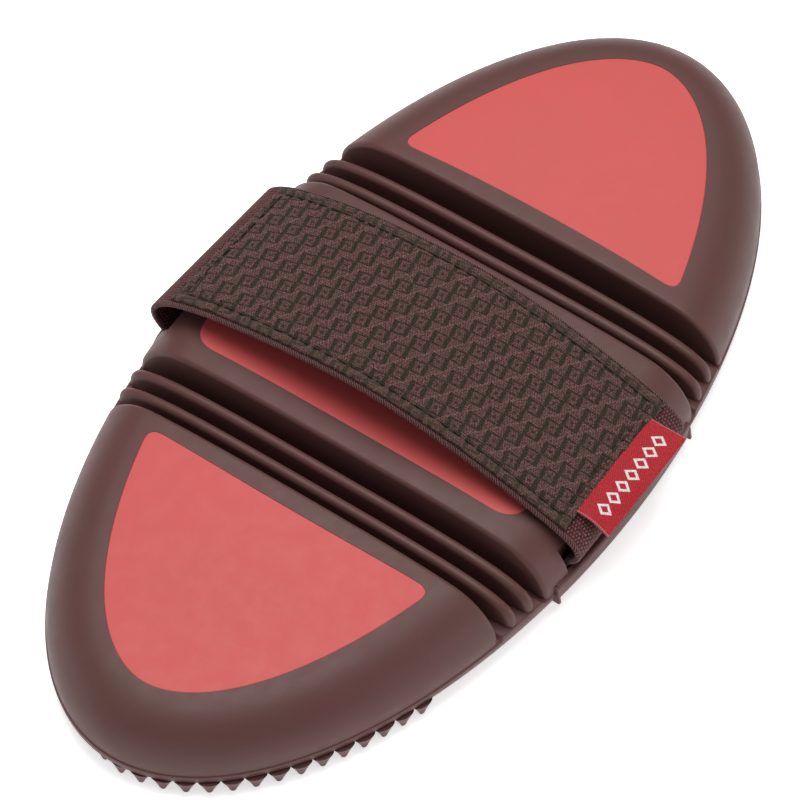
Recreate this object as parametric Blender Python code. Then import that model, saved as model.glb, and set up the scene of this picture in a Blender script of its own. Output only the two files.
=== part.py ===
"""Flexible rubber curry comb: three domed blocks joined by two ribbed flex zones, with a hand strap.

Frame: +X runs to the rear end, +Y to the left side, +Z up. The origin is the middle of the flat tip
of the centre tooth, so the comb rests on its teeth on the plane z = 0. Units are metres.
"""

import math

import bmesh
import bpy
from mathutils import Vector

MM = 0.001

# Plan outline of the sole: an ellipse.
HALF_LENGTH = 105.7 * MM
HALF_WIDTH = 52.3 * MM

# Heights, from the resting plane up.
TOOTH_HEIGHT = 4.0 * MM
SOLE_THICKNESS = 2.6 * MM
SOLE_TOP = TOOTH_HEIGHT + SOLE_THICKNESS
GAP = 0.3 * MM
BLOCK_BOTTOM = SOLE_TOP + GAP
CROWN_TOP = 19.6 * MM
RIB_TOP = 16.1 * MM

# The blocks' tops fall away slowly from the middle, then roll over a wide shoulder to the sole.
CROWN_DROP = 1.7 * MM
CROWN_HALF_LENGTH = 97.3 * MM
CROWN_HALF_WIDTH = 43.7 * MM
SHOULDER_WIDTH = 11.5 * MM
SHOULDER_FULLNESS = 2.2
BLOCK_INSET = 0.3 * MM

# Places along X: block walls, ribs and the hinge lines in the floors of the grooves between them.
CENTRE_WALL = 27.5 * MM
INNER_RIB = 31.5 * MM
OUTER_RIB = 36.4 * MM
END_WALL = 40.8 * MM
RIB_HALF_THICKNESS = 1.2 * MM
RIB_ROUNDNESS = 3.6
HINGE_LINES = (28.9 * MM, 33.95 * MM, 39.2 * MM)
HINGE_GAP = 0.5 * MM
EDGE_ROUND = 1.0 * MM

# Coral pads let into the blocks.
END_PAD_REACH = 93.7 * MM
END_PAD_HALF_WIDTH = 40.2 * MM
END_PAD_POWER = 1.88
END_PAD_EDGE = 45.6 * MM
END_PAD_BOW = 0.8 * MM
CENTRE_PAD_HALF_LENGTH = 22.2 * MM
CENTRE_PAD_HALF_WIDTH = 39.8 * MM
CENTRE_PAD_SHIFT = (0.0, 0.9 * MM)
CENTRE_PAD_BOW = 1.2 * MM
PAD_FLOOR = 16.0 * MM
PAD_RECESS = 0.2 * MM
PAD_EDGE_DROP = 0.3 * MM

# Teeth.
RIM_TOOTH_PITCH = 4.5 * MM
RIM_TOOTH_INSET = 1.4 * MM
RIM_TEETH_FROM_X = 57.0 * MM
RIM_ROW_TURN = math.radians(0.9)
RIM_DRAW_IN = 1.2 * MM
RIM_DRAW_IN_BY = 0.4
RIM_TOOTH = (2.1 * MM, 0.6 * MM, 0.55)
SMALL_TOOTH = (1.7 * MM, 0.6 * MM, 1.0)
LARGE_TOOTH = (2.4 * MM, 1.1 * MM, 1.0)
CENTRE_TOOTH = (3.2 * MM, 2.0 * MM, 1.0)
FIELD_PITCH_X = 11.4 * MM
FIELD_PITCH_Y = 12.0 * MM
FIELD_INSET = 7.5 * MM
TOOTH_SIDES = 6
TOOTH_ROOT = 0.6 * MM

# Hand strap: webbing, face panel, thread and label.
STRAP_CENTRE_X = 0.4 * MM
WEBBING_HALF_WIDTH = 19.6 * MM
WEBBING_THICKNESS = 1.4 * MM
PANEL_HALF_WIDTH = 18.7 * MM
PANEL_THICKNESS = 0.7 * MM
PANEL_CLEARANCE = 0.06 * MM
PANEL_LEFT_END = 46.6 * MM
PANEL_RIGHT_END = -47.4 * MM
STITCH_INSET = 2.3 * MM
THREAD_WIDTH = 0.6 * MM
THREAD_HEIGHT = 0.35 * MM
LABEL_LEFT_EDGE = -13.2 * MM
LABEL_RIGHT_EDGE = 14.1 * MM
LABEL_REACH = 8.1 * MM
LABEL_THICKNESS = 0.7 * MM
LABEL_HINGE = (0.45 * MM, -48.1 * MM, 19.0 * MM)
LABEL_DROOP = math.radians(10.0)

# Side strips that hold the webbing's ends.
STRIP_HALF_LENGTH = 24.4 * MM
STRIP_INNER_Y = 50.0 * MM
STRIP_PROUD = 0.5 * MM
STRIP_TOP = 8.3 * MM
SLOT_INNER_Y = 47.9 * MM
SLOT_HALF_LENGTH = 20.4 * MM

# The webbing's under surface, as (y, z) points from its left foot over the arch to its right foot.
STRAP_ROUTE = [
    (48.2, 7.2), (48.3, 8.8), (49.0, 10.4), (50.3, 12.2), (51.0, 14.4), (50.0, 16.8), (47.0, 19.3),
    (42.0, 21.7), (34.0, 24.2), (24.0, 26.2), (12.0, 27.6), (0.0, 28.1), (-12.0, 26.9), (-24.0, 24.7),
    (-34.0, 21.9), (-42.0, 19.3), (-47.6, 17.1), (-50.6, 14.9), (-51.3, 13.0), (-50.5, 11.4),
    (-49.1, 10.0), (-48.3, 8.6), (-48.2, 7.2),
]

RING_COUNT = 7
COLUMN_COUNT = 6
TIP_STATIONS = 9


def clear_scene():
    for obj in list(bpy.data.objects):
        bpy.data.objects.remove(obj)


def make_material(name, colour, roughness):
    material = bpy.data.materials.new(name)
    material.use_nodes = True
    shader = material.node_tree.nodes["Principled BSDF"]
    shader.inputs["Base Color"].default_value = (*colour, 1.0)
    shader.inputs["Roughness"].default_value = roughness
    shader.inputs["Metallic"].default_value = 0.0
    material.diffuse_color = (*colour, 1.0)
    return material


def body_rubber(name):
    return make_material(name, (0.105, 0.062, 0.058), 0.55)


def pad_rubber(name):
    return make_material(name, (0.62, 0.13, 0.125), 0.6)


def dark_webbing(name):
    return make_material(name, (0.075, 0.028, 0.028), 0.9)


def jacquard(name):
    return make_material(name, (0.085, 0.055, 0.045), 0.85)


def thread(name):
    return make_material(name, (0.02, 0.014, 0.013), 0.8)


def label_weave(name):
    return make_material(name, (0.36, 0.02, 0.028), 0.8)


def add_object(name, bm, material, sharp_degrees=35.0):
    """Makes an object from a bmesh, with its faces turned outwards."""
    bmesh.ops.remove_doubles(bm, verts=bm.verts, dist=1e-6)
    bmesh.ops.dissolve_degenerate(bm, dist=1e-7, edges=bm.edges)
    bmesh.ops.recalc_face_normals(bm, faces=bm.faces)
    if bm.calc_volume(signed=True) < 0:
        bmesh.ops.reverse_faces(bm, faces=bm.faces)
    mesh = bpy.data.meshes.new(name)
    bm.to_mesh(mesh)
    bm.free()
    mesh.shade_smooth()
    mesh.set_sharp_from_angle(angle=math.radians(sharp_degrees))
    obj = bpy.data.objects.new(name, mesh)
    if material is not None:
        mesh.materials.append(material)
    bpy.context.scene.collection.objects.link(obj)
    return obj


def hide_cutter(obj):
    obj.hide_render = True
    obj.display_type = "WIRE"


def boolean(obj, cutter, operation):
    modifier = obj.modifiers.new(operation.lower(), "BOOLEAN")
    modifier.operation = operation
    modifier.solver = "EXACT"
    modifier.object = cutter
    hide_cutter(cutter)


def prism(name, outline, bottom, top, material=None):
    """A closed prism over a plan outline given as (x, y) points."""
    bm = bmesh.new()
    low = [bm.verts.new((x, y, bottom)) for x, y in outline]
    high = [bm.verts.new((x, y, top)) for x, y in outline]
    for i in range(len(outline)):
        j = (i + 1) % len(outline)
        bm.faces.new((low[i], low[j], high[j], high[i]))
    bm.faces.new(low[::-1])
    bm.faces.new(high)
    return add_object(name, bm, material)


def box_cutter(name, low, high):
    outline = [(low[0], low[1]), (high[0], low[1]), (high[0], high[1]), (low[0], high[1])]
    return prism(name, outline, low[2], high[2])


def outline_y(x, inset=0.0):
    """The plan outline's half width at x, for an outline drawn in by inset."""
    ratio = min(1.0, abs(x) / (HALF_LENGTH - inset))
    return (HALF_WIDTH - inset) * math.sqrt(1.0 - ratio * ratio)


def crown(x, y):
    """Height of the blocks' common top surface."""
    reach = math.hypot(x / CROWN_HALF_LENGTH, y / CROWN_HALF_WIDTH)
    return CROWN_TOP - CROWN_DROP * reach**4


def ring_angle(ring):
    return 0.5 * math.pi * ring / (RING_COUNT - 1)


def ring_inset(ring):
    out = max(0.0, math.cos(ring_angle(ring))) ** (2.0 / SHOULDER_FULLNESS)
    return BLOCK_INSET + SHOULDER_WIDTH * (1.0 - out)


def shoulder_point(x, y, ring):
    up = math.sin(ring_angle(ring)) ** (2.0 / SHOULDER_FULLNESS)
    return Vector((x, y, BLOCK_BOTTOM + (crown(x, y) - BLOCK_BOTTOM) * up))


def block_section(ring_x):
    """One section across a block, from right foot to left foot. ring_x gives each ring's x."""
    left = []
    for ring in range(RING_COUNT):
        x = ring_x(ring)
        y = outline_y(x, ring_inset(ring))
        left.append(shoulder_point(x, y, ring))
    right = [Vector((p.x, -p.y, p.z)) for p in left]
    across = []
    for column in range(1, COLUMN_COUNT):
        y = right[-1].y + (left[-1].y - right[-1].y) * column / COLUMN_COUNT
        across.append(Vector((left[-1].x, y, crown(left[-1].x, y))))
    return right + across + left[::-1]


def draw_in(section, amount):
    """Moves a section inwards along its own normals, keeping its feet on their level."""
    if amount <= 0.0:
        return section
    moved = []
    last = len(section) - 1
    for i, point in enumerate(section):
        before = section[max(i - 1, 0)]
        after = section[min(i + 1, last)]
        along = Vector((0.0, after.y - before.y, after.z - before.z))
        if i in (0, last):
            along = Vector((0.0, 0.0, 1.0 if i == 0 else -1.0))
        along.normalize()
        moved.append(point + Vector((0.0, along.z, -along.y)) * amount)
    return moved


def skin_sections(name, sections, material, close_last):
    """Joins sections into a solid: skin, flat underside and flat end walls."""
    bm = bmesh.new()
    rows = [[bm.verts.new(p) for p in section] for section in sections]
    for a, b in zip(rows, rows[1:]):
        for i in range(len(a) - 1):
            bm.faces.new((a[i], b[i], b[i + 1], a[i + 1]))
        bm.faces.new((a[0], a[-1], b[-1], b[0]))
    bm.faces.new(rows[0])
    if close_last:
        bm.faces.new(rows[-1][::-1])
    return add_object(name, bm, material)


def wall_stations():
    """(distance from the wall, amount drawn in) through the rounded edge of a block's wall."""
    stations = []
    for degrees in (0, 30, 60, 90):
        angle = math.radians(degrees)
        stations.append((EDGE_ROUND * (1 - math.cos(angle)), EDGE_ROUND * (1 - math.sin(angle))))
    return stations


def end_shell(name, side, material):
    """An end block: from its wall at END_WALL round to the tip."""
    sections = []
    for distance, amount in wall_stations():
        x = END_WALL + distance
        sections.append(draw_in(block_section(lambda ring: x), amount))
    start = END_WALL + EDGE_ROUND
    start_angle = math.acos(start / HALF_LENGTH)
    for step in range(1, TIP_STATIONS + 1):
        angle = start_angle * (1.0 - step / TIP_STATIONS)
        part = (HALF_LENGTH * math.cos(angle) - start) / (HALF_LENGTH - start)
        sections.append(
            block_section(lambda ring: start + (HALF_LENGTH - ring_inset(ring) - start) * part)
        )
    for section in sections:
        for point in section:
            point.x *= side
    return skin_sections(name, sections, material, close_last=False)


def box_between(name, half_length, side, inner_y, top):
    """A cutter over one side of the comb, from inner_y out past the outline."""
    outer = HALF_WIDTH + 10 * MM
    low_y, high_y = sorted((side * inner_y, side * outer))
    return box_cutter(name, (-half_length, low_y, 0.0), (half_length, high_y, top))


def centre_shell(name, material):
    """The middle block, slotted at its sides for the webbing and the side strips."""
    sections = []
    for distance, amount in wall_stations():
        x = -CENTRE_WALL + distance
        sections.append(draw_in(block_section(lambda ring: x), amount))
    for x in (-17.0 * MM, -8.5 * MM, 0.0, 8.5 * MM, 17.0 * MM):
        sections.append(block_section(lambda ring: x))
    for distance, amount in reversed(wall_stations()):
        x = CENTRE_WALL - distance
        sections.append(draw_in(block_section(lambda ring: x), amount))
    shell = skin_sections(name, sections, material, close_last=True)
    for side in (-1, 1):
        tall = box_between("slot_cutter", SLOT_HALF_LENGTH, side, SLOT_INNER_Y, CROWN_TOP + 5 * MM)
        reach, inner = STRIP_HALF_LENGTH + GAP, STRIP_INNER_Y - GAP
        low = box_between("strip_cutter", reach, side, inner, STRIP_TOP + GAP)
        boolean(shell, tall, "DIFFERENCE")
        boolean(shell, low, "DIFFERENCE")
    return shell


def rib_section(x):
    """A rib's section across the comb: a superellipse standing on the sole."""
    half_width = outline_y(x, 0.4 * MM)
    height = RIB_TOP - BLOCK_BOTTOM
    points = []
    steps = 18
    for step in range(steps + 1):
        angle = math.pi * (1.0 - step / steps)
        along = abs(math.cos(angle)) ** (2.0 / RIB_ROUNDNESS)
        up = math.sin(angle) ** (2.0 / RIB_ROUNDNESS) if 0 < step < steps else 0.0
        y = math.copysign(along, math.cos(angle)) * half_width
        points.append(Vector((x, y, BLOCK_BOTTOM + up * height)))
    return points


def flex_rib(name, centre_x, material):
    sections = []
    for degrees in (0, 30, 60, 90, 120, 150, 180):
        angle = math.radians(degrees)
        x = centre_x - RIB_HALF_THICKNESS * math.cos(angle)
        amount = RIB_HALF_THICKNESS * (1.0 - math.sin(angle))
        sections.append(draw_in(rib_section(x), amount))
    return skin_sections(name, sections, material, close_last=True)


def round_corner(before, corner, after, reach, steps=4):
    """Points of a rounded corner between two sides, each point being (x, y)."""
    corner = Vector(corner)
    start = corner + (Vector(before) - corner).normalized() * reach
    end = corner + (Vector(after) - corner).normalized() * reach
    points = []
    for step in range(steps + 1):
        t = step / steps
        points.append(start * (1 - t) ** 2 + corner * 2 * t * (1 - t) + end * t**2)
    return [(p.x, p.y) for p in points]


def end_pad_outline(grow=0.0):
    """A rounded D: a superelliptic arc closed by a slightly bowed edge across the comb."""
    reach = END_PAD_REACH + grow
    width = END_PAD_HALF_WIDTH + grow
    edge = END_PAD_EDGE - END_PAD_BOW - grow
    corner_y = width * (1 - (edge / reach) ** END_PAD_POWER) ** (1 / END_PAD_POWER)
    corner = Vector((edge, corner_y))
    first = math.acos((edge / reach) ** (END_PAD_POWER / 2))
    arc = []
    steps = 22
    for step in range(1, steps):
        angle = first * (1 - 2 * step / steps)
        x = reach * math.cos(angle) ** (2 / END_PAD_POWER)
        y = width * math.copysign(abs(math.sin(angle)) ** (2 / END_PAD_POWER), angle)
        arc.append((x, y))
    left = round_corner((edge, 0.0), corner, arc[0], 2.6 * MM)
    right = round_corner(arc[-1], (corner.x, -corner.y), (edge, 0.0), 2.6 * MM)
    bowed = []
    for part in (-0.6, -0.2, 0.2, 0.6):
        bowed.append((edge + END_PAD_BOW * (1 - part * part), part * corner_y))
    return left + arc[1:-1] + right + bowed


def centre_pad_outline(grow=0.0):
    half_x = CENTRE_PAD_HALF_LENGTH + grow
    half_y = CENTRE_PAD_HALF_WIDTH + grow
    tip = half_y + CENTRE_PAD_BOW
    reach = 6.0 * MM
    quarter = [(half_x, 0.0)]
    quarter += round_corner((half_x, 0.0), (half_x, half_y), (0.0, tip), reach, steps=5)
    quarter += [(half_x * 0.45, half_y + CENTRE_PAD_BOW * 0.8)]
    top_left = [(-x, y) for x, y in quarter[::-1]]
    bottom_left = [(-x, -y) for x, y in quarter[1:]]
    bottom_right = [(x, -y) for x, y in quarter[:0:-1]]
    outline = quarter + [(0.0, tip)] + top_left + bottom_left + [(0.0, -tip)] + bottom_right
    return [(x + CENTRE_PAD_SHIFT[0], y + CENTRE_PAD_SHIFT[1]) for x, y in outline]


def inlay(name, outline, material):
    """A pad whose top follows the crown, a hair below it, with a softened edge."""
    cx = sum(x for x, y in outline) / len(outline)
    cy = sum(y for x, y in outline) / len(outline)
    bm = bmesh.new()
    rows = []
    for scale, drop in ((1.0, PAD_EDGE_DROP), (0.98, 0.0), (0.62, 0.0), (0.3, 0.0)):
        row = []
        for x, y in outline:
            px = cx + (x - cx) * scale
            py = cy + (y - cy) * scale
            row.append(bm.verts.new((px, py, crown(px, py) - PAD_RECESS - drop)))
        rows.append(row)
    base = [bm.verts.new((x, y, PAD_FLOOR)) for x, y in outline]
    middle = bm.verts.new((cx, cy, crown(cx, cy) - PAD_RECESS))
    count = len(outline)
    for i in range(count):
        j = (i + 1) % count
        bm.faces.new((base[i], base[j], rows[0][j], rows[0][i]))
        for outer, inner in zip(rows, rows[1:]):
            bm.faces.new((outer[i], outer[j], inner[j], inner[i]))
        bm.faces.new((rows[-1][i], rows[-1][j], middle))
    bm.faces.new(base[::-1])
    return add_object(name, bm, material)


def mirror_outline(outline):
    return [(-x, y) for x, y in outline][::-1]


def fit_inlay(name, shell, outline, wide_outline, material):
    """Lets a pad into a block, with an even gap round it."""
    cutter = prism(name + "_cutter", wide_outline, PAD_FLOOR - GAP, CROWN_TOP + 5 * MM)
    boolean(shell, cutter, "DIFFERENCE")
    return inlay(name, outline, material)


def sole_outline(low_x, high_x, inset, steps=16):
    """The part of the plan outline between two lines across the comb, as (x, y) points."""
    reach = HALF_LENGTH - inset
    first = math.acos(min(1.0, high_x / reach)) if high_x < reach else 0.0
    last = math.acos(max(-1.0, low_x / reach)) if low_x > -reach else math.pi
    left = []
    for step in range(steps + 1):
        angle = first + (last - first) * step / steps
        left.append((reach * math.cos(angle), (HALF_WIDTH - inset) * math.sin(angle)))
    if first == 0.0:
        return left + [(x, -y) for x, y in left[:0:-1]]
    return left + [(x, -y) for x, y in left[::-1]]


def sole_plate(name, low_x, high_x, material, steps):
    """A flat plate with softened rims, between two hinge lines."""
    bm = bmesh.new()
    soft = 0.4 * MM
    levels = ((TOOTH_HEIGHT, soft), (TOOTH_HEIGHT + soft, 0.0), (SOLE_TOP - soft, 0.0), (SOLE_TOP, soft))
    rows = []
    for z, inset in levels:
        outline = sole_outline(low_x, high_x, inset, steps)
        rows.append([bm.verts.new((x, y, z)) for x, y in outline])
    count = len(rows[0])
    for low, high in zip(rows, rows[1:]):
        for i in range(count):
            j = (i + 1) % count
            bm.faces.new((low[i], low[j], high[j], high[i]))
    bm.faces.new(rows[0][::-1])
    bm.faces.new(rows[-1])
    return add_object(name, bm, material)


def add_tooth(bm, x, y, root_radius, tip_radius, flatness):
    """One tooth: a flat-tipped cone whose root is sunk into the sole, flattened across the rim."""
    heading = math.atan2(y / HALF_WIDTH**2, x / HALF_LENGTH**2)
    rows = []
    levels = ((TOOTH_HEIGHT + TOOTH_ROOT, root_radius), (TOOTH_HEIGHT, root_radius), (0.0, tip_radius))
    for z, radius in levels:
        row = []
        for side in range(TOOTH_SIDES):
            angle = 2 * math.pi * side / TOOTH_SIDES
            out = radius * flatness * math.cos(angle)
            along = radius * math.sin(angle)
            step_x = out * math.cos(heading) - along * math.sin(heading)
            step_y = out * math.sin(heading) + along * math.cos(heading)
            row.append(bm.verts.new((x + step_x, y + step_y, z)))
        rows.append(row)
    for high, low in zip(rows, rows[1:]):
        for i in range(TOOTH_SIDES):
            j = (i + 1) % TOOTH_SIDES
            bm.faces.new((low[i], low[j], high[j], high[i]))
    bm.faces.new(rows[0])
    bm.faces.new(rows[-1][::-1])


def rim_teeth(side):
    """(x, y) places of the row round one end's rim, evenly spaced and turned a touch against the block.

    Past the tip, one half of the row draws in from the rim; the other half keeps its distance.
    """
    reach = HALF_LENGTH - RIM_TOOTH_INSET
    width = HALF_WIDTH - RIM_TOOTH_INSET
    last_angle = math.acos(RIM_TEETH_FROM_X / reach)
    places = [(reach * side, 0.0)]
    angle = 0.0
    while True:
        speed = math.hypot(reach * math.sin(angle), width * math.cos(angle))
        angle += RIM_TOOTH_PITCH / speed
        if angle > last_angle:
            break
        for hand in (1, -1):
            draw = RIM_DRAW_IN * min(1.0, angle / RIM_DRAW_IN_BY) if hand == -side else 0.0
            x = side * (reach - draw) * math.cos(angle)
            y = hand * (width - draw) * math.sin(angle)
            places.append((x, y))
    cosine, sine = math.cos(RIM_ROW_TURN), math.sin(RIM_ROW_TURN)
    return [(x * cosine - y * sine, x * sine + y * cosine) for x, y in places]


def field_teeth(low_x, high_x, first_x):
    """(x, y) places of the staggered field of teeth under a block, clear of its edges."""
    places = []
    clear = LARGE_TOOTH[0] + 0.6 * MM
    column = 0
    x = first_x
    while x <= high_x - clear:
        half_width = outline_y(x, FIELD_INSET)
        shift = FIELD_PITCH_Y / 2 if column % 2 else 0.0
        row = -math.ceil(half_width / FIELD_PITCH_Y) - 1
        while row * FIELD_PITCH_Y + shift <= half_width:
            y = row * FIELD_PITCH_Y + shift
            if abs(y) <= half_width and x >= low_x + clear:
                places.append((x, y))
            row += 1
        column += 1
        x += FIELD_PITCH_X
    return places


def teeth_object(name, groups):
    """One guide object holding all of a sole's teeth; groups are (places, tooth).

    A tooth is its root radius, its tip radius, and how flat it is across the rim.
    """
    bm = bmesh.new()
    for places, tooth in groups:
        for x, y in places:
            add_tooth(bm, x, y, *tooth)
    mesh = bpy.data.meshes.new(name)
    bmesh.ops.recalc_face_normals(bm, faces=bm.faces)
    bm.to_mesh(mesh)
    bm.free()
    obj = bpy.data.objects.new(name, mesh)
    bpy.context.scene.collection.objects.link(obj)
    return obj


def end_sole(name, side, material):
    near = HINGE_LINES[2] + HINGE_GAP / 2
    low_x, high_x = (near, HALF_LENGTH) if side > 0 else (-HALF_LENGTH, -near)
    plate = sole_plate(name, low_x, high_x, material, steps=20)
    field = [(side * x, y) for x, y in field_teeth(near, HALF_LENGTH - FIELD_INSET, 44.0 * MM)]
    groups = [(rim_teeth(side), RIM_TOOTH), (field, LARGE_TOOTH)]
    boolean(plate, teeth_object(name + "_teeth", groups), "UNION")
    return plate


def centre_sole(name, material):
    half = HINGE_LINES[0] - HINGE_GAP / 2
    plate = sole_plate(name, -half, half, material, steps=10)
    for side in (-1, 1):
        reach, inner = STRIP_HALF_LENGTH + GAP, STRIP_INNER_Y - GAP
        notch = box_between("sole_notch", reach, side, inner, SOLE_TOP + GAP)
        boolean(plate, notch, "DIFFERENCE")
    field = field_teeth(-half, half, -2 * FIELD_PITCH_X)
    field = [place for place in field if math.hypot(*place) > MM]
    groups = [(field, LARGE_TOOTH), ([(0.0, 0.0)], CENTRE_TOOTH)]
    boolean(plate, teeth_object(name + "_teeth", groups), "UNION")
    return plate


def rib_sole(name, side, low_x, high_x, material):
    """The floor strip under one rib, with a single row of teeth."""
    low, high = sorted((side * low_x, side * high_x))
    plate = sole_plate(name, low, high, material, steps=2)
    middle = (low + high) / 2
    rows = range(-4, 5)
    places = [(middle, row * FIELD_PITCH_Y * 0.85) for row in rows]
    boolean(plate, teeth_object(name + "_teeth", [(places, SMALL_TOOTH)]), "UNION")
    return plate


def strap_curve(samples=44):
    """Evenly parametrised (y, z) points on a smooth curve through the strap's route."""
    route = [Vector((y * MM, z * MM)) for y, z in STRAP_ROUTE]
    padded = [route[0] * 2 - route[1]] + route + [route[-1] * 2 - route[-2]]
    points = []
    spans = len(route) - 1
    for sample in range(samples + 1):
        place = sample * spans / samples
        span = min(int(place), spans - 1)
        t = place - span
        p0, p1, p2, p3 = padded[span : span + 4]
        a = p1 * 2
        b = p2 - p0
        c = p0 * 2 - p1 * 5 + p2 * 4 - p3
        d = p3 - p2 * 3 + p1 * 3 - p0
        points.append((a + b * t + c * t * t + d * t**3) * 0.5)
    return points


def raised(points, height):
    """The curve moved out along its normals, away from the comb."""
    moved = []
    last = len(points) - 1
    for i, point in enumerate(points):
        along = points[min(i + 1, last)] - points[max(i - 1, 0)]
        along.normalize()
        moved.append(point + Vector((along.y, -along.x)) * height)
    return moved


def between_ends(points, left_end, right_end):
    """The stretch of the curve over the arch between two y places, with exact ends."""
    top = [p for p in points if p.y > LABEL_HINGE[2] - 6 * MM]
    inner = [p for p in top if right_end < p.x < left_end]
    inner = [p for p in inner if min(left_end - p.x, p.x - right_end) > 0.5 * MM]

    def at(y):
        for a, b in zip(top, top[1:]):
            if b.x <= y <= a.x:
                return a.lerp(b, (a.x - y) / (a.x - b.x))
        raise ValueError("the strap does not reach this place")

    return [at(left_end)] + inner + [at(right_end)]


def ribbon(name, under, over, half_width, material):
    """A flat band between two (y, z) curves, spanning the same width all along."""
    bm = bmesh.new()
    rows = []
    for low, high in zip(under, over):
        corners = ((-half_width, low), (half_width, low), (half_width, high), (-half_width, high))
        rows.append([bm.verts.new((STRAP_CENTRE_X + x, p.x, p.y)) for x, p in corners])
    for a, b in zip(rows, rows[1:]):
        for i in range(4):
            j = (i + 1) % 4
            bm.faces.new((a[i], a[j], b[j], b[i]))
    bm.faces.new(rows[0])
    bm.faces.new(rows[-1][::-1])
    return add_object(name, bm, material)


def strap_webbing(name, material):
    under = strap_curve()
    return ribbon(name, under, raised(under, WEBBING_THICKNESS), WEBBING_HALF_WIDTH, material)


def panel_line(height, trim=0.0):
    line = raised(strap_curve(), WEBBING_THICKNESS + PANEL_CLEARANCE + height)
    return between_ends(line, PANEL_LEFT_END - trim, PANEL_RIGHT_END + trim)


def strap_panel(name, material):
    under = panel_line(0.0)
    over = raised(under, PANEL_THICKNESS)
    return ribbon(name, under, over, PANEL_HALF_WIDTH, material)


def panel_thread(name, material):
    """The line of stitching round the panel, as one closed band lying on it."""
    line = raised(panel_line(0.0), PANEL_THICKNESS + PANEL_CLEARANCE)
    line = between_ends(line, PANEL_LEFT_END - STITCH_INSET, PANEL_RIGHT_END + STITCH_INSET)
    half = PANEL_HALF_WIDTH - STITCH_INSET
    loop = [(-half, p) for p in line] + [(half, p) for p in line[::-1]]
    inner_line = line[1:-1]
    first = line[0].lerp(line[1], THREAD_WIDTH / (line[1] - line[0]).length)
    last = line[-1].lerp(line[-2], THREAD_WIDTH / (line[-2] - line[-1]).length)
    inner_line = [first] + inner_line + [last]
    inner_half = half - THREAD_WIDTH
    inner = [(-inner_half, p) for p in inner_line] + [(inner_half, p) for p in inner_line[::-1]]
    bm = bmesh.new()
    rows = []
    for (x, p), (inner_x, q) in zip(loop, inner):
        lift = Vector((0.0, THREAD_HEIGHT))
        corners = ((x, p), (inner_x, q), (inner_x, q + lift), (x, p + lift))
        rows.append([bm.verts.new((STRAP_CENTRE_X + cx, c.x, c.y)) for cx, c in corners])
    for a, b in zip(rows, rows[1:] + rows[:1]):
        for i in range(4):
            j = (i + 1) % 4
            bm.faces.new((a[i], a[j], b[j], b[i]))
    return add_object(name, bm, material)


def woven_label(name, material):
    """The folded label: a small flap out from the panel's end. Its origin is on its hinge line."""
    bm = bmesh.new()
    half = (LABEL_RIGHT_EDGE - LABEL_LEFT_EDGE) / 2
    start = 0.3 * MM
    rows = []
    for reach, thick in ((start, 1.0), (LABEL_REACH - 0.5 * MM, 1.0), (LABEL_REACH, 0.6)):
        y = -reach * math.cos(LABEL_DROOP)
        z = -reach * math.sin(LABEL_DROOP)
        h = LABEL_THICKNESS * thick / 2
        corners = ((-half, -h), (half, -h), (half, h), (-half, h))
        rows.append([bm.verts.new((x, y, z + dz)) for x, dz in corners])
    for a, b in zip(rows, rows[1:]):
        for i in range(4):
            j = (i + 1) % 4
            bm.faces.new((a[i], a[j], b[j], b[i]))
    bm.faces.new(rows[0])
    bm.faces.new(rows[-1][::-1])
    label = add_object(name, bm, material)
    label.location = LABEL_HINGE
    return label


def side_strip(name, side, material):
    """The strip that closes one slot: straight inside, following the outline outside."""
    reach = HALF_LENGTH + STRIP_PROUD
    width = HALF_WIDTH + STRIP_PROUD
    outline = [(-STRIP_HALF_LENGTH, STRIP_INNER_Y), (STRIP_HALF_LENGTH, STRIP_INNER_Y)]
    steps = 10
    for step in range(steps + 1):
        x = STRIP_HALF_LENGTH * (1 - 2 * step / steps)
        outline.append((x, width * math.sqrt(1 - (x / reach) ** 2)))
    outline = [(x, side * y) for x, y in outline]
    strip = prism(name, outline, TOOTH_HEIGHT, STRIP_TOP, material)
    bevel = strip.modifiers.new("soft_edges", "BEVEL")
    bevel.width = 0.3 * MM
    bevel.segments = 1
    bevel.limit_method = "ANGLE"
    bevel.angle_limit = math.radians(40)
    return strip


def parent_to(empty_name, place, children):
    """Groups the pieces that bend together under an empty on their hinge line."""
    empty = bpy.data.objects.new(empty_name, None)
    empty.location = place
    bpy.context.scene.collection.objects.link(empty)
    bpy.context.view_layer.update()
    for child in children:
        child.parent = empty
        child.matrix_parent_inverse = empty.matrix_world.inverted()


def build_end(word, side):
    """One end: its block, pad and sole, and the two ribs of its flex zone with their floor strips."""
    shell = end_shell(word + "_shell", side, body_rubber(word + "_shell"))
    outline, wide = end_pad_outline(), end_pad_outline(GAP)
    if side < 0:
        outline, wide = mirror_outline(outline), mirror_outline(wide)
    pad = fit_inlay(word + "_pad", shell, outline, wide, pad_rubber(word + "_pad"))
    sole = end_sole(word + "_sole", side, body_rubber(word + "_sole"))
    hinge_z = TOOTH_HEIGHT + SOLE_THICKNESS / 2
    parent_to(word + "_section_hinge", (side * HINGE_LINES[2], 0.0, hinge_z), (shell, pad, sole))
    spans = zip(("inner", "outer"), (INNER_RIB, OUTER_RIB), HINGE_LINES, HINGE_LINES[1:])
    for place, rib_x, low_x, high_x in spans:
        rib_name = f"{word}_{place}_rib"
        floor_name = f"{word}_{place}_rib_sole"
        rib = flex_rib(rib_name, side * rib_x, body_rubber(rib_name))
        low = low_x + HINGE_GAP / 2
        high = high_x - HINGE_GAP / 2
        floor = rib_sole(floor_name, side, low, high, body_rubber(floor_name))
        parent_to(rib_name + "_hinge", (side * low_x, 0.0, hinge_z), (rib, floor))


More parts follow.
